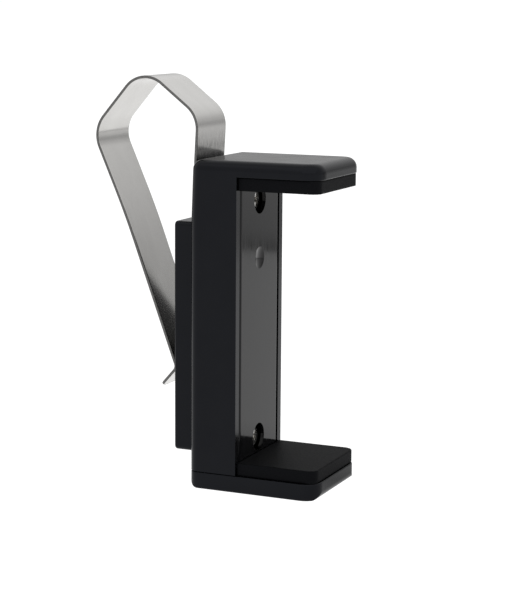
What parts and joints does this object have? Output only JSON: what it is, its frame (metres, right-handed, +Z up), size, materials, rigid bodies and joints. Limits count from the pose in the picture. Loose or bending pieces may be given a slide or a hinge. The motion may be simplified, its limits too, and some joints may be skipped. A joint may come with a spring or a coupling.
{
  "type": "clip-on device holder",
  "caption": "Spring-jaw device holder: a channel column with foam-padded jaws, the lower one on a sprung slider, and a looped steel strap clip behind.",
  "frame": {"origin": "middle of the flat underside of the lower jaw, which the holder stands on", "axes": "+Z up along the column, +X the way the jaws reach, Y across the width; the strap clip is behind, at -X"},
  "size_m": [0.0562, 0.0252, 0.0906],
  "materials": {
    "black_moulding": "fine satin moulding",
    "foam": "closed-cell foam",
    "black_slider": "gloss black coating on pressed steel",
    "strap_steel": "rolled spring steel, lengthwise grain",
    "screw_steel": "bright plated",
    "spring_steel": "drawn wire"
  },
  "bodies": {
    "housing": {"housing": "black_moulding", "upper_pad": "foam", "upper_anchor_screw": "screw_steel", "back_screws": "screw_steel", "return_spring": "spring_steel", "back_block": "black_moulding", "strap_root": "strap_steel"},
    "lower_jaw": {"lower_jaw": "black_moulding", "lower_pad": "foam", "slider_plate": "black_slider", "tab_screws": "screw_steel", "lower_anchor_screw": "screw_steel"},
    "clip_arm": {"strap_arm": "strap_steel"}
  },
  "joints": [
    {"name": "jaw_slide", "type": "slide", "parent": "housing", "child": "lower_jaw", "axis": [0, 0, -1], "range_m": [0, 0.03], "stiffness_N_per_m": 250, "springref_m": -0.03, "deforming": ["return_spring"]},
    {"name": "clip_flex", "type": "hinge", "parent": "housing", "child": "clip_arm", "pos_m": [-0.01586, 0, 0.0787], "axis": [0, 1, 0], "range_deg": [0, 20], "stiffness_Nm_per_rad": 0.64, "springref_deg": -5.73}
  ]
}
